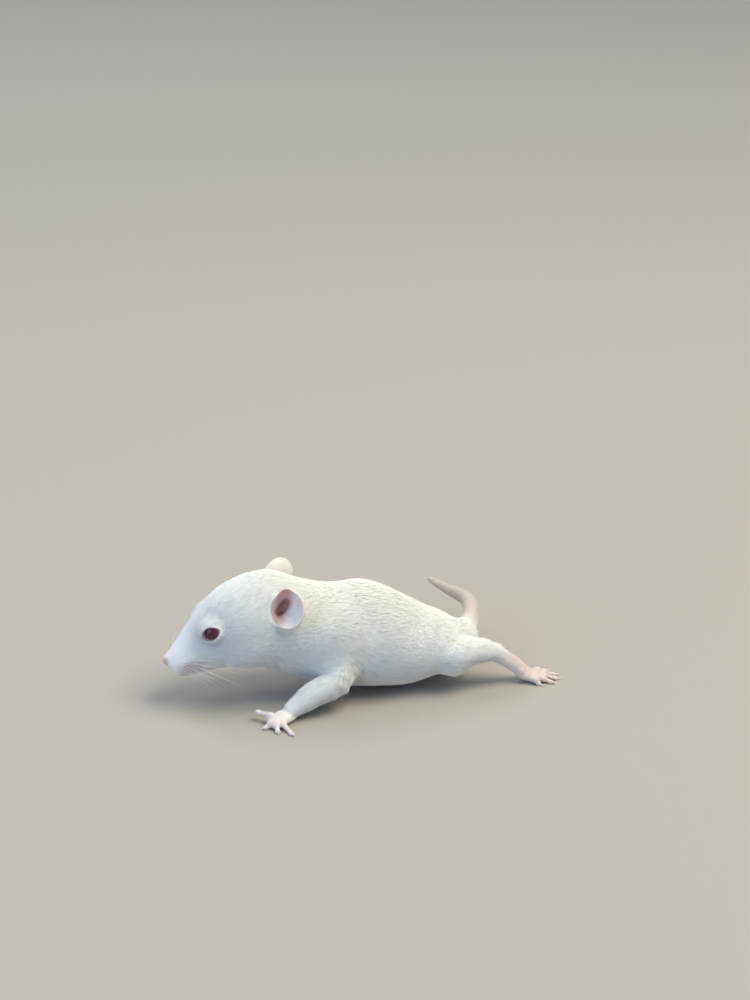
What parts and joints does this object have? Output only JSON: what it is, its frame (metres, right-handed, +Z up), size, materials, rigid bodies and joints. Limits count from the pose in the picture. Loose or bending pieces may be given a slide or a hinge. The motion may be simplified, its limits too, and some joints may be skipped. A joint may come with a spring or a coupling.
{
  "type": "young white mouse",
  "caption": "Young white mouse, life size, crawling with its head low, a hind leg stretched back and its tail curled to one side.",
  "frame": {"origin": "the floor under the middle of the animal's box, with its feet on z = 0", "axes": "+X from the nose to the stretched hind foot, +Y to the animal's right side, +Z up"},
  "size_m": [0.0662, 0.042, 0.0223],
  "materials": {
    "fur": "short soft white fur",
    "ear_skin": "thin pink skin with fine down",
    "foot_skin": "bare pink skin",
    "tail_skin": "ringed pink skin with fine bristles",
    "eye": "wet and clear, dark red"
  },
  "bodies": {
    "root": {"head": "fur", "ear_left": "ear_skin", "ear_right": "ear_skin", "eye_left": "eye", "eye_right": "eye", "neck": "fur", "chest": "fur", "rump": "fur", "foreleg_left": "fur", "foreleg_right": "fur", "forepaw_left": "foot_skin", "forepaw_right": "foot_skin", "thigh_left": "fur", "thigh_right": "fur", "shank_left": "fur", "shank_right": "fur", "hindfoot_left": "foot_skin", "hindfoot_right": "foot_skin", "tail_1": "tail_skin", "tail_2": "tail_skin", "tail_3": "tail_skin", "tail_4": "tail_skin"}
  },
  "joints": []
}
